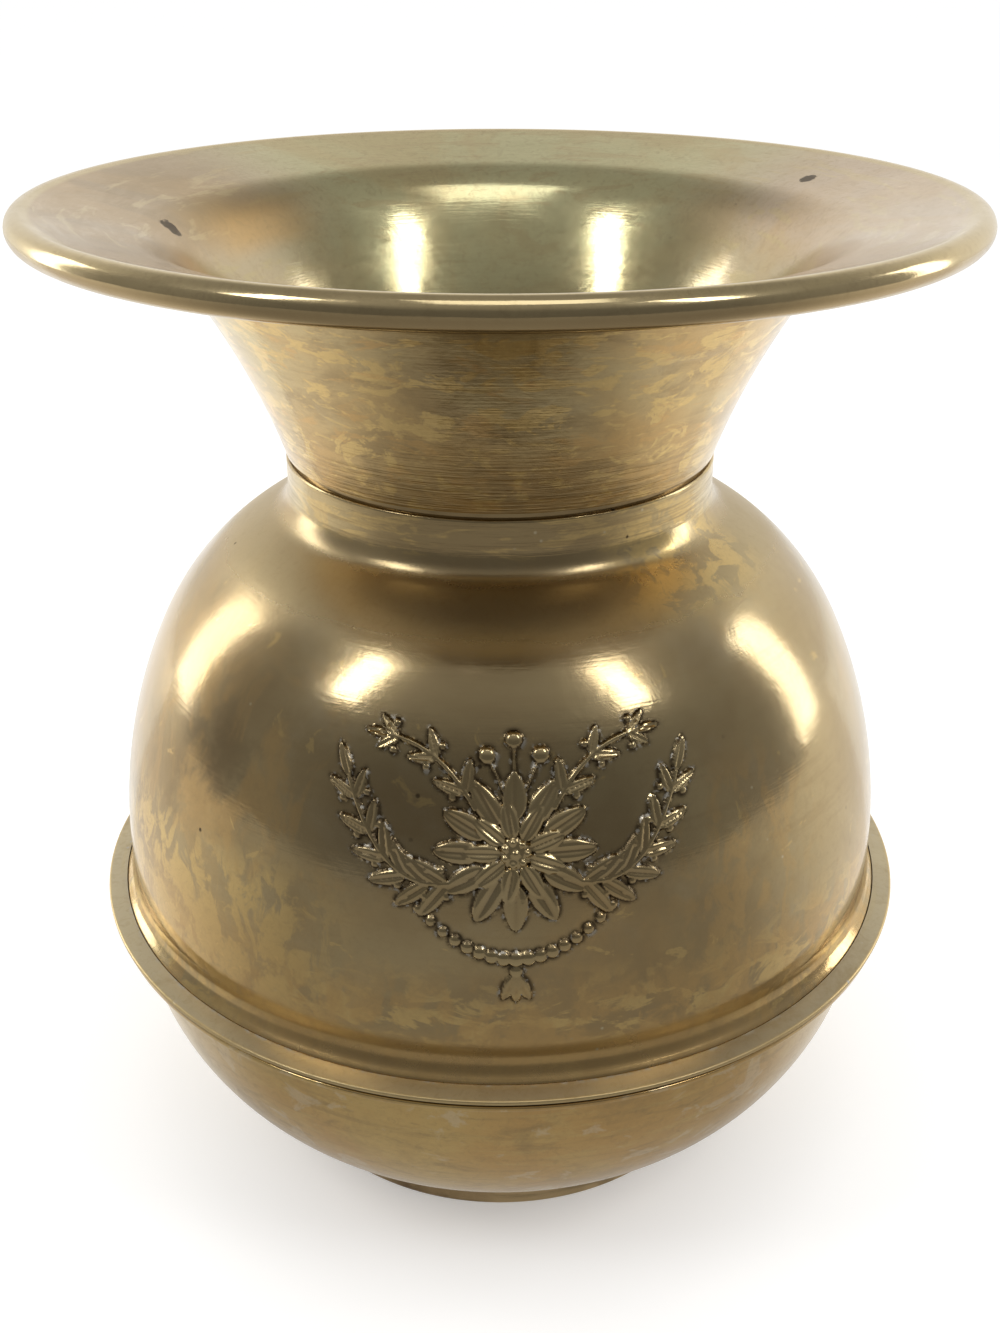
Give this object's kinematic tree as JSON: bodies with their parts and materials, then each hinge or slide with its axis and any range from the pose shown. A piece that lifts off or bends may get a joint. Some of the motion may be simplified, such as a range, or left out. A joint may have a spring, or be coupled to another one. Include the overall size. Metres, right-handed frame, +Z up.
{
  "type": "spittoon",
  "caption": "Round brass spittoon with a wide flared top on a narrow neck, a bellied vessel with a waist band, and a foot ring.",
  "frame": {"origin": "on the axis, in the plane that the foot ring rests on", "axes": "+Z up along the axis of the vessel; the piece is round, so +X and +Y are any pair square to it"},
  "size_m": [0.2342, 0.2342, 0.267],
  "materials": {
    "brass_foot": "tarnished",
    "brass_bowl": "aged satin",
    "brass_band": "aged satin",
    "brass_shell": "aged polish",
    "brass_neck": "turned",
    "brass_top": "aged polish",
    "brass_wire": "drawn"
  },
  "bodies": {
    "vessel": {"foot_ring": "brass_foot", "lower_bowl": "brass_bowl", "waist_band": "brass_band", "upper_shell": "brass_shell", "neck_socket": "brass_neck"},
    "top": {"neck_spigot": "brass_neck", "flared_top": "brass_top", "rim_wire": "brass_wire"}
  },
  "joints": [
    {"name": "top_lift", "type": "slide", "parent": "vessel", "child": "top", "axis": [0, 0, 1], "range_m": [0, 0.06]}
  ]
}
